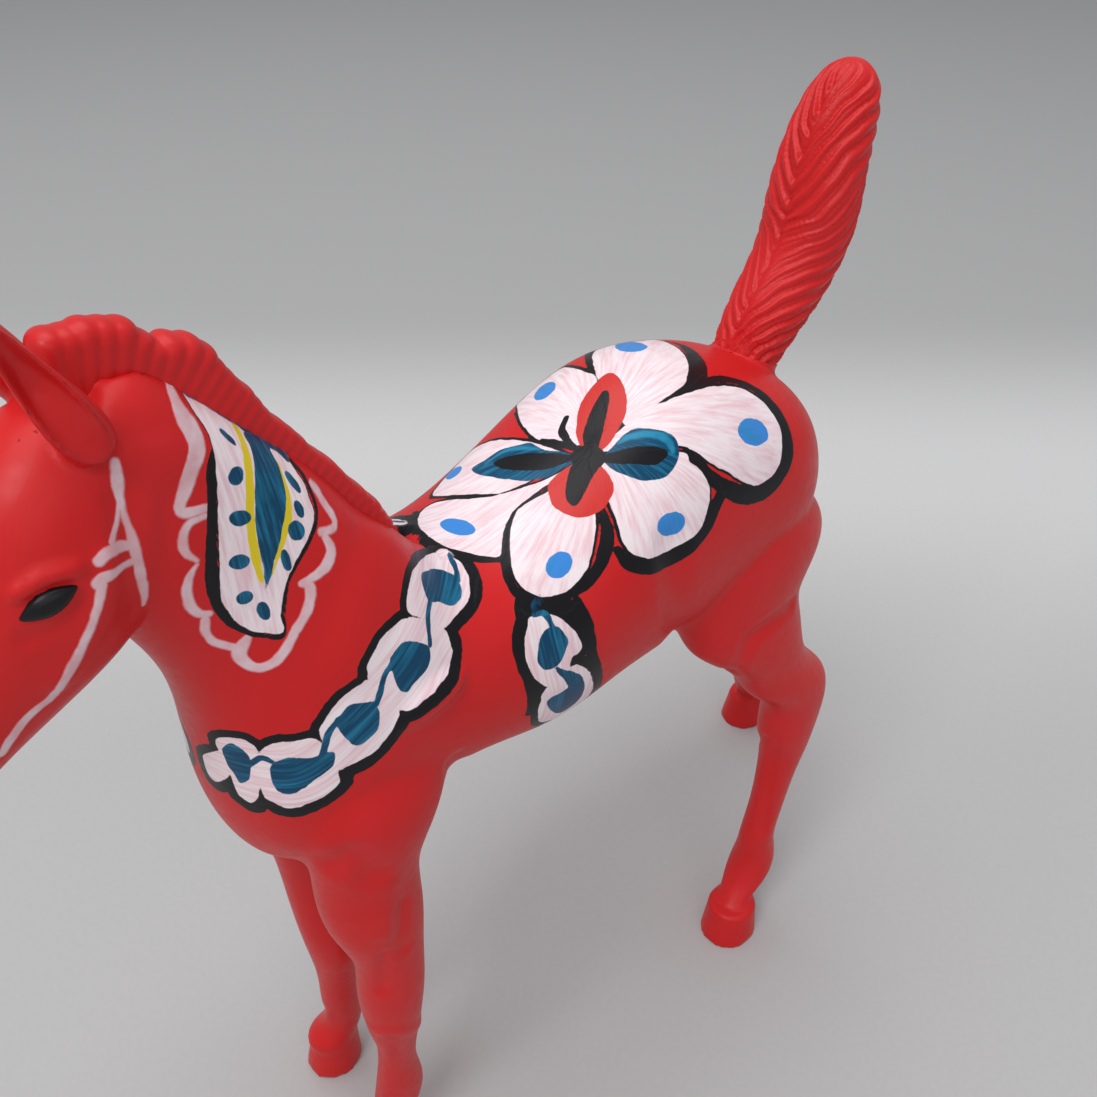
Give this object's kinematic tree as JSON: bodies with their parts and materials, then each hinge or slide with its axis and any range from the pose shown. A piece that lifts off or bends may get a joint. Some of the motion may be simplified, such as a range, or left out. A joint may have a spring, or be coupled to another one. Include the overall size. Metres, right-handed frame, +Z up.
{
  "type": "painted model foal",
  "caption": "Standing moulded plastic foal figure with an upright tail, painted red with folk flower, leaf and beaded band ornament.",
  "frame": {"origin": "on the floor under the middle of the outline", "axes": "+Z up, the nose points along -Y, the foal's left side is +X"},
  "size_m": [0.0448, 0.1698, 0.148],
  "materials": {
    "red_paint": "satin sprayed paint over moulded plastic"
  },
  "bodies": {
    "root": {"body_shell_left": "red_paint", "body_shell_right": "red_paint", "foreleg_left": "red_paint", "foreleg_right": "red_paint", "hindleg_left": "red_paint", "hindleg_right": "red_paint", "tail": "red_paint", "ear_left": "red_paint", "ear_right": "red_paint", "mane_strip": "red_paint"}
  },
  "joints": []
}
